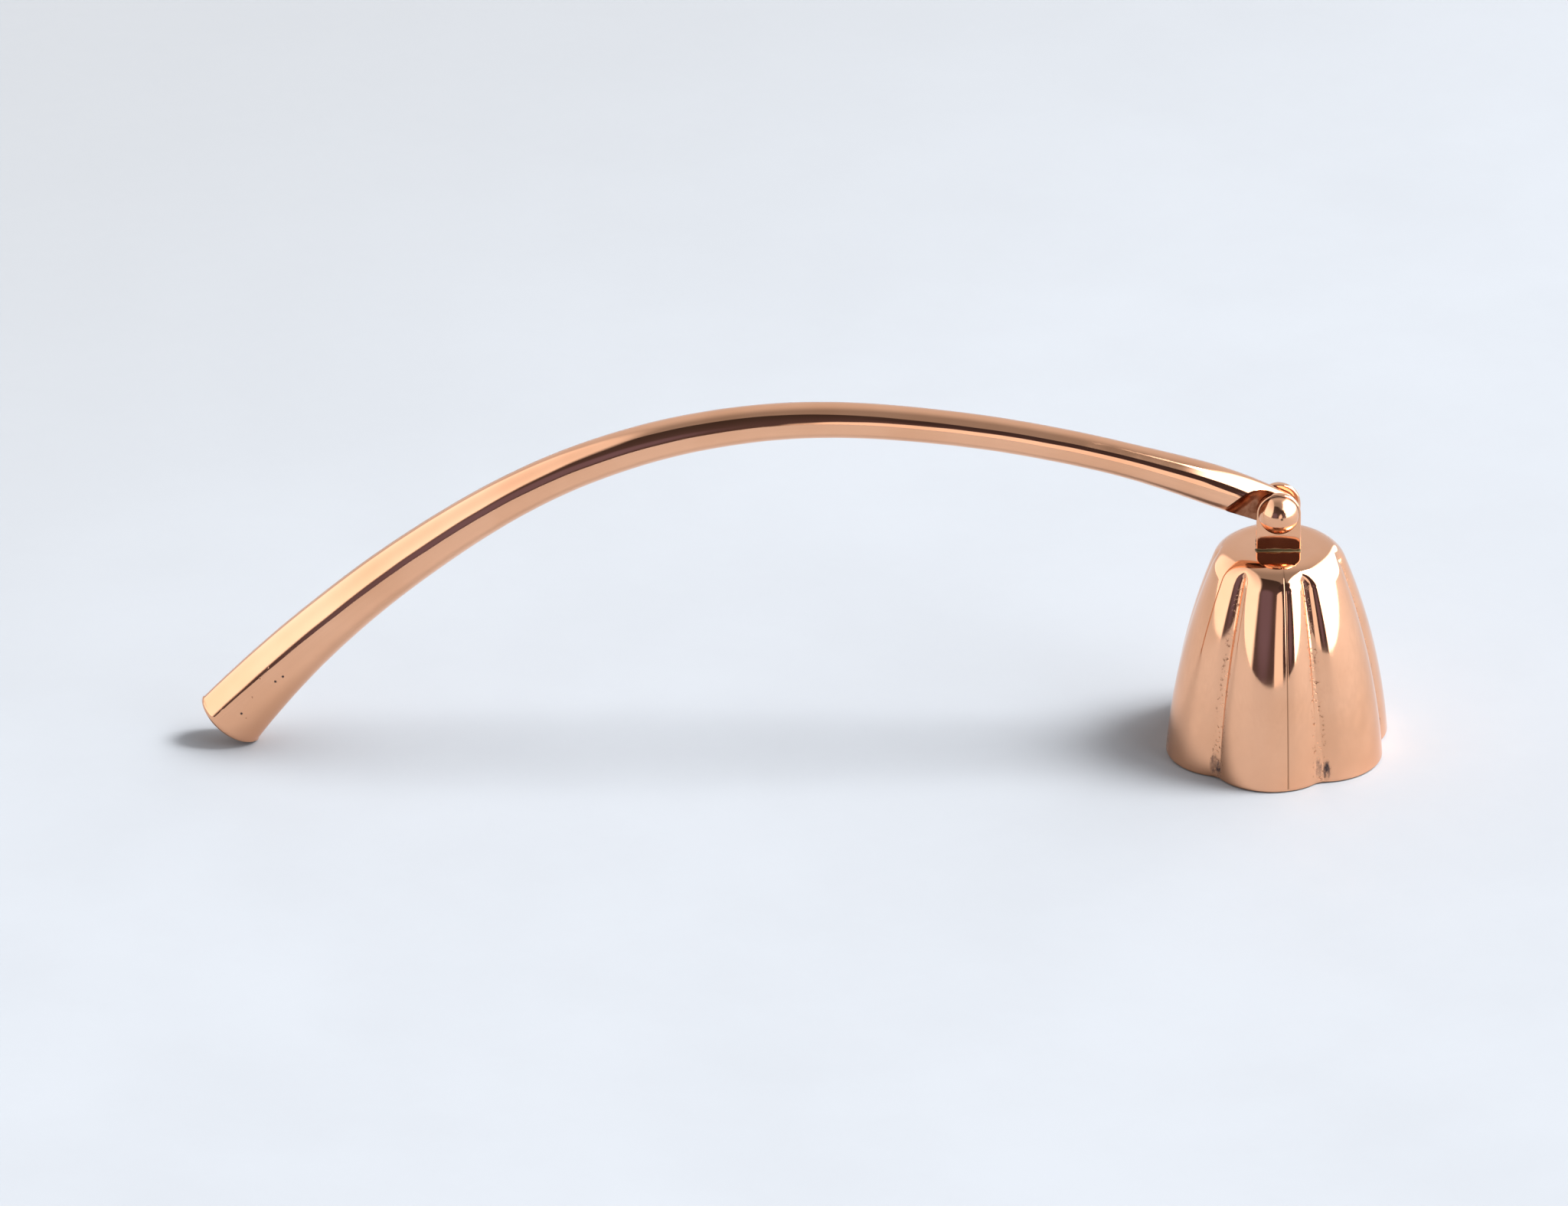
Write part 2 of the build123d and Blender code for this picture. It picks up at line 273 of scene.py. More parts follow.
def makeClevis(shape):
    thick, edge, ear = shape["thickness"], shape["edgeRounding"], shape["earRadius"]
    outside, inside = shape["bendOutside"], shape["bendInside"]
    deep, rise = shape["gap"] / 2 + thick, shape["pinRise"]

    # stations along half the strap: points on its outer and inner face, and the turn round the ear
    stations = [((share * (deep - outside), 0.0), (share * (deep - thick - inside), thick), 0.0)
                for share in np.linspace(0, 1, 5)]
    for turn in np.linspace(0, pi / 2, 9):
        stations.append(((deep - outside + outside * sin(turn), outside - outside * cos(turn)),
                         (deep - thick - inside + inside * sin(turn), thick + inside - inside * cos(turn)), 0.0))
    for share in np.linspace(0, 1, 8)[1:]:
        stations.append(((deep, outside + share * (rise - outside)),
                         (deep - thick, thick + inside + share * (rise - thick - inside)), 0.0))
    stations += [((deep, rise), (deep - thick, rise), turn) for turn in np.linspace(0, pi / 2, 28)[1:]]
    corner = np.linspace(0, pi / 2, 6)
    # half of the strap's section, from the middle of its outer face to the middle of its inner one
    section = [(edge, 0.0, share) for share in np.linspace(0, 1, 7)[:-1]]
    section += [(edge * (1 - sin(turn)), edge * (1 - cos(turn)), 1.0) for turn in corner]
    section += [(edge * (1 - cos(turn)), thick - edge * (1 - sin(turn)), 1.0) for turn in corner]
    section += [(edge, thick, share) for share in np.linspace(1, 0, 7)[1:]]
    loop = [(1, *spot) for spot in section] + [(-1, *spot) for spot in section[-2:0:-1]]
    points = []
    for side, row in [(-1, station) for station in stations[:0:-1]] + [(1, station) for station in stations]:
        outerSpot, innerSpot, turn = row
        for hand, inset, below, share in loop:
            reach, blend = ear - inset, below / thick
            y, z = (a + (b - a) * blend for a, b in zip(outerSpot, innerSpot))
            points.append((hand * share * reach * cos(turn), side * y, shape["foot"] + z + reach * sin(turn)))
    faces = ringFaces(2 * len(stations) - 1, len(loop))
    clevis = makePiece("clevisFolded", points, faces)
    pin = shape["foot"] + rise
    drill(clevis, (0, -deep - 1, pin), (0, deep + 1, pin), shape["pinHole"])
    drill(clevis, (0, 0, shape["foot"] - 1), (0, 0, shape["foot"] + thick + 1), shape["rivetHole"])
    return clevis


clevis = makeClevis(clevisSettings)
print("clevis folded:", len(clevis.data.polygons), "faces")

# Hinge pin with its cap, and the rivet in the crown
pinSettings = {
    "shankRadius": 1.5, "shankLength": 6.3, "headRadius": 3.55, "headHeight": 3.2, "brokenEdge": 0.1,
    "boreRadius": 1.52, "boreDepth": 1.6,
    "half": clevisSettings["gap"] / 2 + clevisSettings["thickness"],
    "height": clevisSettings["foot"] + clevisSettings["pinRise"],
}
rivetSettings = {
    "shankRadius": 0.8, "headRadius": 2.4, "headHeight": 1.2, "peenedRadius": 1.05, "peenedHeight": 0.45,
    "brokenEdge": 0.08, "grip": bellSettings["wall"] + clevisSettings["thickness"],
    "foot": bellSettings["height"] - bellSettings["wall"],
}


def makePin(shape):
    edge, shank = shape["brokenEdge"], shape["shankRadius"]
    profile = [(0.0, -shape["shankLength"]), (shank - edge, -shape["shankLength"]),
               (shank, edge - shape["shankLength"]), (shank, 0.0)]
    profile += domeProfile(shape["headRadius"], shape["headHeight"], edge)
    return lathe("pinHead", profile, (0, -shape["half"], shape["height"]), (0, -1, 0))


def makePinCap(shape):
    edge = shape["brokenEdge"]
    profile = [(0.0, shape["boreDepth"]), (shape["boreRadius"], shape["boreDepth"]), (shape["boreRadius"], 0.0)]
    profile += domeProfile(shape["headRadius"], shape["headHeight"], edge)
    return lathe("pinCap", profile, (0, shape["half"], shape["height"]), (0, 1, 0))


def makeRivet(shape):
    edge = shape["brokenEdge"]
    under = [(radius, -height) for radius, height in domeProfile(shape["headRadius"], shape["headHeight"], edge)]
    over = domeProfile(shape["peenedRadius"], shape["peenedHeight"], edge)
    profile = under[::-1] + [(shape["shankRadius"], 0.0), (shape["shankRadius"], shape["grip"])]
    profile += [(radius, shape["grip"] + height) for radius, height in over]
    return lathe("rivetInside", profile, (0, 0, shape["foot"]), (0, 0, 1))


pin, pinCap, rivet = makePin(pinSettings), makePinCap(pinSettings), makeRivet(rivetSettings)
print("pin, cap and rivet turned")

# Handle: a rod along three tangent arcs, with a tongue at the pin and an oval grip
handleSettings = {
    "arcs": ((73.5, 213.0), (68.4, 106.7), (62.9, 191.0)),  # length and bend radius
    "neck": 5.9, "knuckle": 7.2, "gripWidth": 12.4, "gripThickness": 8.2, "tipCrown": 12.0, "tipEdge": 0.6,
    # share of the length, and of the growth from the neck to the knuckle
    "knuckleSwell": ((0.0, 0.25), (0.03, 0.85), (0.055, 1.0), (0.095, 0.5), (0.13, 0.1), (0.185, 0.0)),
    # share of the length, and of the growth from the neck to the grip's width and thickness
    "gripSwell": ((0.25, 0.0, 0.0), (0.43, 0.075, 0.21), (0.56, 0.155, 0.435), (0.66, 0.25, 0.7),
                  (0.76, 0.385, 1.05), (0.87, 0.56, 1.25), (0.94, 0.77, 1.2), (1.0, 1.0, 1.0)),
    "tongueThickness": 2.5, "shoulderSetback": 7.6, "shoulderSlant": 28.0, "cove": 4.0, "coveTolerance": 0.01,
    "bore": 1.55, "boreReach": 4.0, "pinHeight": pinSettings["height"], "settleRounds": 7,
    "smoothing": 2.5, "sizeSteps": 1024, "smoothingSteps": 60,
    # depth, length, lobes and phase
    "polishWaves": ((0.010, 19.0, 1, 0.4), (0.006, 11.0, 2, 2.1), (0.004, 6.7, 1, 4.0)), "waveFade": 10.0,
    "columns": 112, "fineStep": 0.1, "fineReach": 14.0, "step": 0.5, "noseRings": 26,
    "tipLength": 4.0, "tipEdgeSpread": 1.2, "tipRings": 9, "domeRings": 11,
}


def handleLine(shape, along):
    # place and heading in the plane of the arch, from the pin towards -X
    x, z, course, left = np.zeros_like(along), np.zeros_like(along), np.full_like(along, pi), along.copy()
    for index, (length, radius) in enumerate(shape["arcs"]):
        step = left if index == len(shape["arcs"]) - 1 else np.minimum(left, length)
        after = course + step / radius
        x, z = x + radius * (np.sin(after) - np.sin(course)), z + radius * (np.cos(course) - np.cos(after))
        course, left = after, left - step
    return x, z, course


def handleSize(shape, along, length):
    # width and thickness of the rod, smoothed through the shares in the settings
    neck, growth = shape["neck"], shape["knuckle"] - shape["neck"]
    stations = [(share, neck + growth * swell, neck + growth * swell) for share, swell in shape["knuckleSwell"]]
    for share, widen, thicken in shape["gripSwell"]:
        stations.append((share, neck + (shape["gripWidth"] - neck) * widen,
                         neck + (shape["gripThickness"] - neck) * thicken))
    stations = np.array(stations)
    steps, reach = shape["sizeSteps"], shape["smoothingSteps"]
    fine = np.linspace(0, 1, steps + 1)
    spread = np.exp(-0.5 * (np.arange(-reach, reach + 1) * length / steps / shape["smoothing"])**2)
    sizes = []
    for column in (1, 2):
        at, value = stations[:, 0], stations[:, column]
        slope = np.gradient(value, at)
        low = np.clip(np.searchsorted(at, fine, side="right") - 1, 0, len(at) - 2)
        gap = at[low + 1] - at[low]
        t = (fine - at[low]) / gap
        curve = (value[low] * (1 + 2 * t) * (1 - t)**2 + slope[low] * gap * t * (1 - t)**2
                 + value[low + 1] * t * t * (3 - 2 * t) + slope[low + 1] * gap * t * t * (t - 1))
        beyond = curve[-1] + np.arange(1, reach + 1) * (curve[-1] - curve[-2])
        extended = np.concatenate([np.full(reach, curve[0]), curve, beyond])
        sizes.append(np.interp(along / length, fine, np.convolve(extended, spread / spread.sum(), "valid")))
    return sizes


def makeHandle(shape):
    length = sum(arc for arc, _ in shape["arcs"])
    nose = (shape["neck"] + (shape["knuckle"] - shape["neck"]) * shape["knuckleSwell"][0][1]) / 2
    crown = shape["tipCrown"]
    tipStart = length - shape["tipLength"]
    noseTurn = np.linspace(pi / 2, 0, shape["noseRings"])
    along = np.concatenate([-nose * np.sin(noseTurn[:-1]), np.arange(0, shape["fineReach"], shape["fineStep"]),
                            np.arange(shape["fineReach"], tipStart, shape["step"]), [tipStart]])
    rounding = np.concatenate([np.cos(noseTurn[:-1]), np.ones(len(along) - len(noseTurn) + 1)])
    turn = np.linspace(0, 2 * pi, shape["columns"], endpoint=False)

    # distance along the line, and offsets within and across the plane of the arch, for each ring
    width, thickness = handleSize(shape, along, length)
    wave = sum(depth * np.sin(2 * pi * along[:, None] / run + phase) * np.cos(lobes * turn + phase)
               for depth, run, lobes, phase in shape["polishWaves"])
    wave = wave * np.clip((along - shape["fineReach"]) / shape["waveFade"], 0, 1)[:, None]
    within = (width / 2 * rounding)[:, None] * np.cos(turn) + wave * np.cos(turn)
    across = (thickness / 2)[:, None] * np.sin(turn) + wave * np.sin(turn)
    ahead = np.repeat(along[:, None], len(turn), 1)

    # domed tip with a rounded edge, drawn from the last ring to the middle of the end
    lastWithin, lastAcross = shape["gripWidth"] / 2 * np.cos(turn), shape["gripThickness"] / 2 * np.sin(turn)
    rim = np.hypot(lastWithin, lastAcross)
    edge = shape["tipEdgeSpread"] * shape["tipEdge"]

    def dome(reach):
        return length - crown + np.sqrt(crown**2 - reach**2)

    tip = []
    for share in np.linspace(0, 1, shape["tipRings"])[1:]:
        straight = tipStart + (dome(rim) - edge - tipStart) * share
        wide, thick = handleSize(shape, straight, length)
        tip.append((straight, wide / 2 * np.cos(turn), thick / 2 * np.sin(turn)))
    inward = 1 - edge / rim
    straightEnd, corner, domeEdge = tip[-1][0], dome(rim), dome(rim * inward)
    for t in np.linspace(0, 1, shape["tipRings"])[1:]:
        place = straightEnd * (1 - t)**2 + 2 * corner * t * (1 - t) + domeEdge * t * t
        scale = (1 - t)**2 + 2 * t * (1 - t) + inward * t * t
        tip.append((place, lastWithin * scale, lastAcross * scale))
    for share in np.linspace(1, 0, shape["domeRings"])[1:]:
        tip.append((dome(rim * inward * share), lastWithin * inward * share, lastAcross * inward * share))
    ahead = np.concatenate([ahead, [row[0] for row in tip]])
    within = np.concatenate([within, [row[1] for row in tip]])
    across = np.concatenate([across, [row[2] for row in tip]])

    x, z, course = handleLine(shape, ahead)
    x, z = x - np.sin(course) * within, z + np.cos(course) * within

    # let down about the pin until the tip touches the table
    settled = 0.0
    for _ in range(shape["settleRounds"]):
        drop = (z.min() + shape["pinHeight"]) / x.min()
        x, z = x * cos(drop) + z * sin(drop), z * cos(drop) - x * sin(drop)
        settled += drop
    points = np.stack([x, across, z + shape["pinHeight"]], -1)
    handle = makePiece("handlePolished", points.reshape(-1, 3), ringFaces(*points.shape[:2]), crease=40)

    # two flats for the tongue, each ending in a coved shoulder that slants down and back
    cove, flat, far = shape["cove"], shape["tongueThickness"] / 2, 3 * shape["shoulderSetback"]
    outline = [(cove - cove * cos(turn), flat + cove - cove * sin(turn)) for turn in np.linspace(0, pi / 2, 41)]
    outline += [(far, flat), (far, far), (0.0, far)]
    lean = radians(shape["shoulderSlant"]) + settled
    for side in (-1, 1):
        block = [((ahead - shape["shoulderSetback"]) * cos(lean) + up * sin(lean), side * out,
                  shape["pinHeight"] - (ahead - shape["shoulderSetback"]) * sin(lean) + up * cos(lean))
                 for up in (-far, far) for ahead, out in outline]
        count = len(outline)
        faces = ringFaces(2, count) + [tuple(range(count)), tuple(range(2 * count - 1, count - 1, -1))]
        cutAway(handle, makePiece("flat", block, faces), crease=40)
    reach, up = shape["boreReach"], shape["pinHeight"]
    drill(handle, (0, -reach, up), (0, reach, up), shape["bore"], crease=40)

    # marks what the flats and coves left, for the darker, rougher surface there
    corners = np.empty(3 * len(handle.data.vertices))
    handle.data.vertices.foreach_get("co", corners)
    x, y, z = corners.reshape(-1, 3).T / mm
    ahead = x * cos(lean) - (z - shape["pinHeight"]) * sin(lean) + shape["shoulderSetback"]
    hollow = np.clip(cove - ahead, 0, cove)
    left = np.abs(np.abs(y) - flat - cove + np.sqrt(cove**2 - hollow**2)) < shape["coveTolerance"]
    mark = handle.data.attributes.new("cove", "FLOAT", "POINT")
    mark.data.foreach_set("value", (left & (ahead > 0)).astype(np.float32))
    return handle


handle = makeHandle(handleSettings)
print("handle drawn:", len(handle.data.polygons), "faces")


# Small helpers for node trees
def addNode(tree, kind, **values):
    node = tree.nodes.new(kind)
    for key, value in values.items():
        setattr(node, key, value)
    return node


def feed(tree, socket, value):
    # links another node's output to a socket, or sets a plain value on it
    if isinstance(value, bpy.types.NodeSocket):
        tree.links.new(value, socket)
    else:
        socket.default_value = value


def noise(tree, where, scale, detail=3.0, roughness=0.5):
    node = addNode(tree, "ShaderNodeTexNoise")
    feed(tree, node.inputs["Vector"], where)
    node.inputs["Scale"].default_value = scale
    node.inputs["Detail"].default_value = detail
    node.inputs["Roughness"].default_value = roughness
    return node.outputs["Fac"]


def ramp(tree, value, start, end, low=0.0, high=1.0):
    node = addNode(tree, "ShaderNodeMapRange", interpolation_type="SMOOTHSTEP", clamp=True)
    feed(tree, node.inputs["Value"], value)
    for name, number in (("From Min", start), ("From Max", end), ("To Min", low), ("To Max", high)):
        node.inputs[name].default_value = number
    return node.outputs["Result"]


def math(tree, operation, *values):
    node = addNode(tree, "ShaderNodeMath", operation=operation)
    for socket, value in zip(node.inputs, values):
        feed(tree, socket, value)
    return node.outputs["Value"]


def mixColour(tree, share, first, second):
    node = addNode(tree, "ShaderNodeMix", data_type="RGBA")
    feed(tree, node.inputs["Factor"], share)
    feed(tree, node.inputs["A"], first)
    feed(tree, node.inputs["B"], second)
    return node.outputs["Result"]


def stretched(tree, where, scale):
    node = addNode(tree, "ShaderNodeMapping")
    feed(tree, node.inputs["Vector"], where)
    node.inputs["Scale"].default_value = scale
    return node.outputs["Vector"]


def bump(tree, height, depth, strength=1.0, below=None):
    node = addNode(tree, "ShaderNodeBump")
    feed(tree, node.inputs["Height"], height)
    node.inputs["Distance"].default_value = depth
    node.inputs["Strength"].default_value = strength
    if below is not None:
        feed(tree, node.inputs["Normal"], below)
    return node.outputs["Normal"]


def spots(tree, where, places, radius):
    # small round marks at places given in millimetres
    mask = None
    for place in places:
        node = addNode(tree, "ShaderNodeVectorMath", operation="DISTANCE")
        feed(tree, node.inputs[0], where)
        node.inputs[1].default_value = Vector(place) * mm
        mark = ramp(tree, node.outputs["Value"], radius * mm, 0.45 * radius * mm)
        mask = mark if mask is None else math(tree, "MAXIMUM", mask, mark)
    return mask


# Rose-copper plate, polished; every piece has its own wear
plateSettings = {
    "tone": (0.87, 0.475, 0.29, 1), "shade": (0.80, 0.42, 0.245, 1), "stain": (0.20, 0.085, 0.04, 1),
    "residue": (0.13, 0.1, 0.045, 1), "pit": (0.02, 0.01, 0.01, 1), "coveTone": (0.19, 0.06, 0.027, 1),
    "cloudScale": 55.0, "cloudEdges": (0.35, 0.7), "wearScale": 260.0, "wearEdges": (0.3, 0.75), "hazeScale": 900.0,
    "roughness": (0.035, 0.085), "waveScale": 110.0, "waveDepth": 0.000006, "scratchDepth": 0.0000012,
}


def copperPlate(name, look, scratchStretch, marks):
    material = bpy.data.materials.new(name)
    material.use_nodes = True
    tree = material.node_tree
    shader = tree.nodes["Principled BSDF"]
    where = addNode(tree, "ShaderNodeTexCoord").outputs["Object"]
    cloud = ramp(tree, noise(tree, where, look["cloudScale"], 4.0), *look["cloudEdges"])
    colour = mixColour(tree, cloud, look["tone"], look["shade"])
    wear = noise(tree, where, look["wearScale"], 5.0, 0.6)
    rough = ramp(tree, wear, *look["wearEdges"], *look["roughness"])
    scratches = noise(tree, stretched(tree, where, scratchStretch), look["hazeScale"], 2.0)
    normal = bump(tree, noise(tree, where, look["waveScale"], 1.0), look["waveDepth"])
    normal = bump(tree, scratches, look["scratchDepth"], 1.0, normal)
    colour, rough, normal, dull = marks(tree, where, colour, rough, normal)
    feed(tree, shader.inputs["Metallic"], math(tree, "SUBTRACT", 1.0, dull))
    feed(tree, shader.inputs["Base Color"], colour)
    feed(tree, shader.inputs["Roughness"], rough)
    feed(tree, shader.inputs["Normal"], normal)
    return material


# Pinholes in the grip's plating
gripMarks = {
    "pinholes": ((-171.7, -4.37, 14.48), (-173.0, -4.35, 13.5), (-178.9, -4.19, 7.15)), "pinholeRadius": 0.3,
    "faint": ((-174.3, -3.75, 15.94), (-175.6, -3.93, 13.94), (-182.9, -3.44, 7.67), (-177.0, -4.21, 10.4),
              (-178.1, -4.11, 6.25)),
    "faintRadius": 0.2, "faintShare": 0.5, "pinholeRoughness": 0.6, "pinholeDull": 0.9, "depth": 0.00005,
    "strength": 0.7, "coveScale": 420.0, "coveClouds": (0.3, 0.7, 0.7, 1.0), "coveRoughness": 0.2,
}


def handleMarks(tree, where, colour, rough, normal):
    look, grip = plateSettings, gripMarks
    holes = spots(tree, where, grip["pinholes"], grip["pinholeRadius"])
    faint = spots(tree, where, grip["faint"], grip["faintRadius"])
    colour = mixColour(tree, math(tree, "MULTIPLY", faint, grip["faintShare"]), colour, look["stain"])
    colour = mixColour(tree, holes, colour, look["pit"])
    rough = math(tree, "MAXIMUM", rough, math(tree, "MULTIPLY", holes, grip["pinholeRoughness"]))
    # darker and rougher in cloudy patches in the coves beside the tongue
    cove = addNode(tree, "ShaderNodeAttribute", attribute_name="cove").outputs["Fac"]
    cloudy = ramp(tree, noise(tree, where, grip["coveScale"], 4.0, 0.6), *grip["coveClouds"])
    colour = mixColour(tree, math(tree, "MULTIPLY", cove, cloudy), colour, look["coveTone"])
    rough = math(tree, "MAXIMUM", rough, math(tree, "MULTIPLY", cove, grip["coveRoughness"]))
    marked = math(tree, "MAXIMUM", holes, faint)
    normal = bump(tree, math(tree, "SUBTRACT", 1.0, marked), grip["depth"], grip["strength"], normal)
    return colour, rough, normal, math(tree, "MULTIPLY", holes, grip["pinholeDull"])


# Dark marks at the foot of the valleys, specks along them, a line on the seam, and residue round the clevis
bellMarks = {
    "crimps": ((-11.1, -14.1, 2.6), (-10.2, -14.6, 1.8), (7.0, -16.5, 3.2), (8.4, -15.8, 2.3), (-18.9, -4.9, 2.0)),
    "crimpRadius": 1.9, "crimpShape": (2.1, 2.1, 0.8), "crimpStretch": (1, 1, 0.4), "crimpScale": 800.0,
    "crimpTone": (0.03, 0.014, 0.015, 1), "crimpEdges": (0.36, 0.6, 0.15, 1.0),
    "speckScale": 1500.0, "speckEdges": (0.55, 0.68), "speckReach": (0.35, 0.9), "speckShare": 0.75,
    "speckRoughness": 0.3, "valleyEdges": (0.1, 1.0), "valleyShare": 0.35, "seamShare": 0.8,
    "depth": 0.00003, "strength": 0.6,
    "residueReach": 0.05, "residueSoft": 0.15, "residueRagged": 0.42, "residueSide": 0.3, "residueScale": 900.0,
    "dullRoughness": 0.45, "dullShare": 0.85,
}


def bellPlateMarks(tree, where, colour, rough, normal):
    look, wear = plateSettings, bellMarks
    grain = noise(tree, where, wear["speckScale"], 3.0, 0.7)
    places = [[a * b for a, b in zip(place, wear["crimpShape"])] for place in wear["crimps"]]
    crimps = spots(tree, stretched(tree, where, wear["crimpShape"]), places, wear["crimpRadius"])
    strokes = noise(tree, stretched(tree, where, wear["crimpStretch"]), wear["crimpScale"], 4.0, 0.7)
    dark = math(tree, "MULTIPLY", crimps, ramp(tree, strokes, *wear["crimpEdges"]))
    valley = addNode(tree, "ShaderNodeAttribute", attribute_name="valley").outputs["Fac"]
    specks = math(tree, "MULTIPLY", ramp(tree, valley, *wear["speckReach"]), ramp(tree, grain, *wear["speckEdges"]))
    shaded = math(tree, "MULTIPLY", ramp(tree, valley, *wear["valleyEdges"]), wear["valleyShare"])
    colour = mixColour(tree, shaded, colour, look["shade"])
    colour = mixColour(tree, math(tree, "MULTIPLY", specks, wear["speckShare"]), colour, look["stain"])
    seam = addNode(tree, "ShaderNodeAttribute", attribute_name="seam").outputs["Fac"]
    colour = mixColour(tree, math(tree, "MULTIPLY", seam, wear["seamShare"]), colour, look["stain"])
    colour = mixColour(tree, dark, colour, wear["crimpTone"])
    residue = footResidue(tree, where)
    colour = mixColour(tree, residue, colour, look["residue"])
    dull = math(tree, "MAXIMUM", dark, residue)
    rough = math(tree, "MAXIMUM", rough, math(tree, "MULTIPLY", dull, wear["dullRoughness"]))
    rough = math(tree, "MAXIMUM", rough, math(tree, "MULTIPLY", specks, wear["speckRoughness"]))
    sunk = math(tree, "SUBTRACT", 1.0, math(tree, "MAXIMUM", specks, dark))
    normal = bump(tree, sunk, wear["depth"], wear["strength"], normal)
    return colour, rough, normal, math(tree, "MULTIPLY", dull, wear["dullShare"])


def footResidue(tree, where):
    # ragged bead of dull polish along the clevis's foot, up its face and out on the crown
    parts = addNode(tree, "ShaderNodeSeparateXYZ")
    feed(tree, parts.inputs[0], where)
    halfX, halfY = clevisSettings["earRadius"] - bellMarks["residueSide"], pinSettings["half"]
    outX = math(tree, "SUBTRACT", math(tree, "ABSOLUTE", parts.outputs["X"]), halfX * mm)
    outY = math(tree, "SUBTRACT", math(tree, "ABSOLUTE", parts.outputs["Y"]), halfY * mm)
    up = math(tree, "ABSOLUTE", math(tree, "SUBTRACT", parts.outputs["Z"], bellSettings["height"] * mm))
    ragged = noise(tree, where, bellMarks["residueScale"], 3.0, 0.6)
    away = math(tree, "MAXIMUM", math(tree, "MAXIMUM", outX, outY), up)
    reach = math(tree, "MULTIPLY_ADD", ragged, -2 * bellMarks["residueRagged"] * mm, away)
    outer = bellMarks["residueReach"]
    return ramp(tree, reach, outer * mm, (outer - bellMarks["residueSoft"]) * mm)


# The hinge's plate is duller, and the heads have a pit and a painted shadow line round them
hingeLook = dict(plateSettings, roughness=(0.05, 0.12))
headLook = dict(plateSettings, roughness=(0.12, 0.2))
headPitAndShadowLine = {"pit": (0.48, -5.48, 45.7), "pitRadius": 0.3, "pitShare": 0.8,
               # the painted shadow line round each head: how far it reaches, and its tone
               "shadowLineReach": 0.75, "shadowLineTone": (0.06, 0.022, 0.012, 1)}


def hingeMarks(tree, where, colour, rough, normal):
    look = hingeLook
    pit = spots(tree, where, (headPitAndShadowLine["pit"],), headPitAndShadowLine["pitRadius"])
    residue = footResidue(tree, where)
    colour = mixColour(tree, math(tree, "MULTIPLY", pit, headPitAndShadowLine["pitShare"]), colour, look["pit"])
    colour = mixColour(tree, residue, colour, look["residue"])
    rough = math(tree, "MAXIMUM", rough, math(tree, "MULTIPLY", residue, bellMarks["dullRoughness"]))
    return colour, rough, normal, math(tree, "MULTIPLY", residue, bellMarks["dullShare"])


def headMarksAndShadow(tree, where, colour, rough, normal):
    # painted shadow: a dark line where a head meets the clevis's ear
    colour, rough, normal, dull = hingeMarks(tree, where, colour, rough, normal)
    parts = addNode(tree, "ShaderNodeSeparateXYZ")
    feed(tree, parts.inputs[0], where)
    out = math(tree, "SUBTRACT", math(tree, "ABSOLUTE", parts.outputs["Y"]), pinSettings["half"] * mm)
    # painted shadow line round the foot of each head
    line = ramp(tree, out, headPitAndShadowLine["shadowLineReach"] * mm, 0.0)
    return mixColour(tree, line, colour, headPitAndShadowLine["shadowLineTone"]), rough, normal, dull


handlePlate = copperPlate("handlePlate", plateSettings, (0.15, 1, 1), handleMarks)
bellPlate = copperPlate("bellPlate", plateSettings, (1, 1, 0.15), bellPlateMarks)
hingePlate = copperPlate("hingePlate", hingeLook, (0.3, 1, 1), hingeMarks)
headPlate = copperPlate("headPlate", headLook, (0.3, 1, 1), headMarksAndShadow)
dressing = (
    (handle, "handle_body", "handle", "handle_plate", handlePlate),
    (bell, "bell_body", "bell", "bell_plate", bellPlate),
    (clevis, "bell_body", "clevis", "hinge_plate", hingePlate),
    (pin, "bell_body", "hinge_pin", "hinge_plate", headPlate),
    (pinCap, "bell_body", "hinge_pin_cap", "hinge_plate", headPlate),
    (rivet, "bell_body", "crown_rivet", "hinge_plate", hingePlate),
)
for piece, body, node, slot, material in dressing:
    piece.data.materials.clear()
    piece.data.materials.append(material)
    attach(piece, body)
    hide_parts(node)
print("pieces dressed and hung on their bodies")

# Pale table, in metres
tableSettings = {
    "half": 3.0, "drop": 0.00005, "tone": (0.277, 0.288, 0.302, 1), "shade": (0.266, 0.276, 0.289, 1),
    # far: the table's tone in painted shade towards the far left
    "far": (0.238, 0.243, 0.249, 1), "farWay": (-0.7, 0.7, 0), "farEdges": (0.08, 0.36),
    "mottleScale": 14.0, "mottleEdges": (0.3, 0.7), "grainScale": 60.0, "roughness": (0.6, 0.75), "specular": 0.15,
}


def makeTable(look):
    mesh = bpy.data.meshes.new("table")
    half, low = look["half"], -look["drop"]
    corners = [(-half, -half, low), (half, -half, low), (half, half, low), (-half, half, low)]
    mesh.from_pydata(corners, [], [(0, 1, 2, 3)])
    table = bpy.data.objects.new("table", mesh)
    bpy.context.scene.collection.objects.link(table)
    material = bpy.data.materials.new("paleTable")
    material.use_nodes = True
    tree = material.node_tree
    shader = tree.nodes["Principled BSDF"]
    where = addNode(tree, "ShaderNodeTexCoord").outputs["Object"]
    mottle = ramp(tree, noise(tree, where, look["mottleScale"], 5.0, 0.6), *look["mottleEdges"])
    tone = mixColour(tree, mottle, look["tone"], look["shade"])
    # greyer towards the far left, as painted shade where the room's light falls off
    farther = addNode(tree, "ShaderNodeVectorMath", operation="DOT_PRODUCT")
    feed(tree, farther.inputs[0], where)
    farther.inputs[1].default_value = look["farWay"]
    distance = ramp(tree, farther.outputs["Value"], *look["farEdges"])
    feed(tree, shader.inputs["Base Color"], mixColour(tree, distance, tone, look["far"]))
    grain = noise(tree, where, look["grainScale"])
    feed(tree, shader.inputs["Roughness"], ramp(tree, grain, *look["mottleEdges"], *look["roughness"]))
    shader.inputs["Specular IOR Level"].default_value = look["specular"]
    table.data.materials.append(material)
    return table


table = makeTable(tableSettings)
print("table laid")

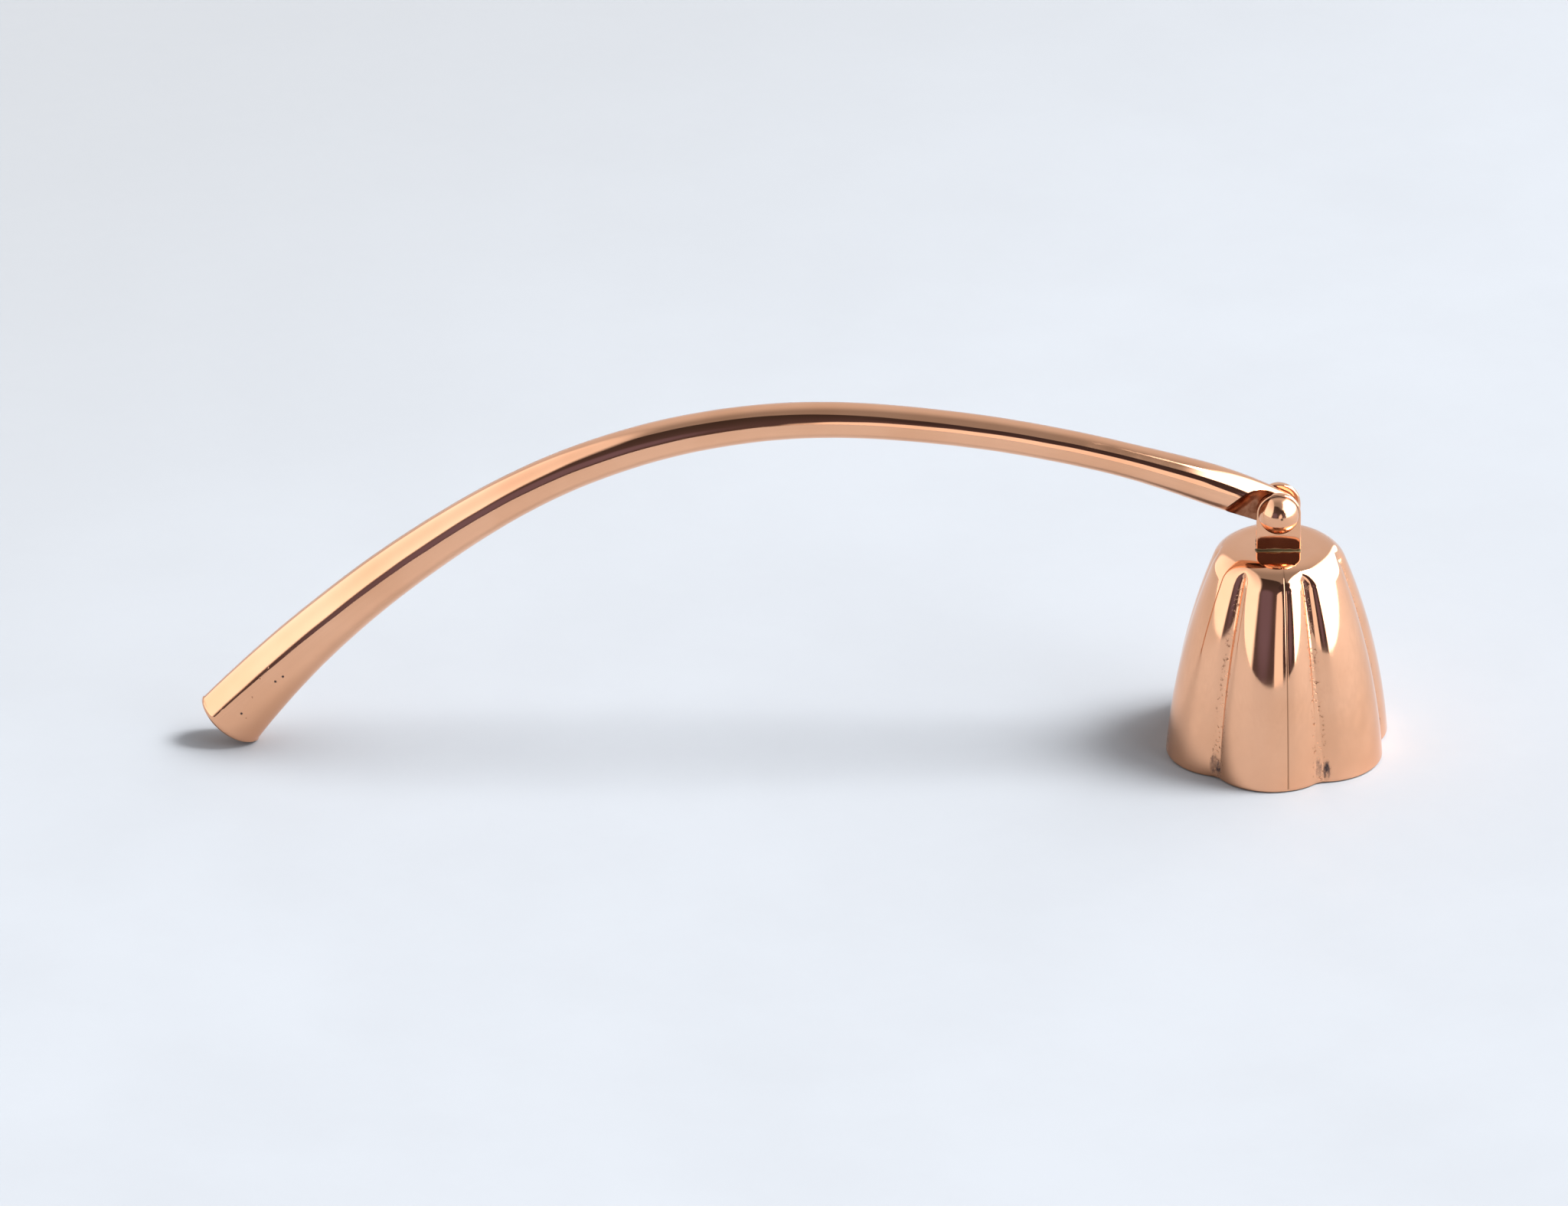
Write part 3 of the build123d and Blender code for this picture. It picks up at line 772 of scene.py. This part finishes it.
# Soft room light: a wide pale wall to the left, a wide bright window to the right, the rest dim
roomSettings = {
    "above": (0.36, 0.36, 0.37), "seen": (0.82, 0.86, 0.91),
    # colour near the table and overhead, bearing from the front towards +X, height, inner and outer half angles
    "panels": (
        ((0.76, 0.77, 0.80), (0.76, 0.77, 0.80), 180, 20, 20, 75),  # back of the room
        ((0.1, 0.08, 0.095), (0.06, 0.05, 0.05), -25, 30, 35, 38),  # dark front, where the photographer stood
        ((0.19, 0.16, 0.25), (0.19, 0.16, 0.25), -22, 14, 5, 18),  # paler patch in it
        ((1.72, 1.72, 1.74), (1.05, 1.05, 1.07), -92, 15, 47, 54),  # wall
        ((3.6, 3.7, 3.9), (3.6, 3.7, 3.9), 85, -8, 71, 75),  # window
        ((1.25, 1.2, 1.2), (1.25, 1.2, 1.2), 20, 4, 19, 22),  # its pale frame
        ((0.07, 0.055, 0.065), (0.05, 0.042, 0.05), 29, 4, 11, 13),  # post beside it
        ((0.07, 0.055, 0.065), (0.05, 0.042, 0.05), 28, 20, 11, 13),  # and its upper parts
        ((0.07, 0.055, 0.065), (0.05, 0.042, 0.05), 22, 36, 12, 14),
        ((0.19, 0.15, 0.23), (0.19, 0.15, 0.23), 29, 6, 2, 7),  # paler stripe on the post
        ((0.19, 0.15, 0.23), (0.19, 0.15, 0.23), 28, 18, 2, 6),
        ((60.0, 61.0, 62.5), (60.0, 61.0, 62.5), 95, 53, 4, 15),  # sky in it
    ),
    "gradient": (0.3, 0.95),  # sines of the heights between which the tones change
}


def lightRoom(look):
    world = bpy.data.worlds.new("room")
    bpy.context.scene.world = world
    world.use_nodes = True
    tree = world.node_tree
    tree.nodes.clear()
    towards = addNode(tree, "ShaderNodeTexCoord").outputs["Generated"]

    def cone(bearing, rise, inner, outer):
        bearing, rise = radians(bearing), radians(rise)
        node = addNode(tree, "ShaderNodeVectorMath", operation="DOT_PRODUCT")
        feed(tree, node.inputs[0], towards)
        node.inputs[1].default_value = (sin(bearing) * cos(rise), -cos(bearing) * cos(rise), sin(rise))
        return ramp(tree, node.outputs["Value"], cos(radians(outer)), cos(radians(inner)))

    light = (*look["above"], 1)
    parts = addNode(tree, "ShaderNodeSeparateXYZ")
    feed(tree, parts.inputs[0], towards)
    overhead = ramp(tree, parts.outputs["Z"], *look["gradient"])
    for low, high, *at in look["panels"]:
        tone = (*low, 1) if low == high else mixColour(tree, overhead, (*low, 1), (*high, 1))
        light = mixColour(tree, cone(*at), light, tone)
    seen = addNode(tree, "ShaderNodeLightPath").outputs["Is Camera Ray"]
    light = mixColour(tree, seen, light, (*look["seen"], 1))
    glow = addNode(tree, "ShaderNodeBackground")
    feed(tree, glow.inputs["Color"], light)
    feed(tree, addNode(tree, "ShaderNodeOutputWorld").inputs["Surface"], glow.outputs["Background"])
    bpy.context.scene.view_settings.view_transform = "Standard"


lightRoom(roomSettings)
print("room lit")

# Camera at the photograph's angle: 2048 x 1575, a long lens that looks 28 degrees down
cameraSettings = {"target": (-85.2, 11.0, 20.7), "elevation": 28.0, "distance": 5296.25, "focalPixels": 40000.0,
                  "imageWidth": 2048, "sensor": 36.0, "clipEnd": 50}


def setCamera(view):
    lens = bpy.data.cameras.new("camera")
    lens.sensor_width = view["sensor"]
    lens.lens = view["sensor"] * view["focalPixels"] / view["imageWidth"]
    lens.clip_end = view["clipEnd"]
    camera = bpy.data.objects.new("camera", lens)
    bpy.context.scene.collection.objects.link(camera)
    rise = radians(view["elevation"])
    back = Vector((0, -cos(rise), sin(rise)))
    camera.location = (Vector(view["target"]) + back * view["distance"]) * mm
    camera.rotation_euler = back.to_track_quat("Z", "Y").to_euler()
    bpy.context.scene.camera = camera


setCamera(cameraSettings)
print("camera set")
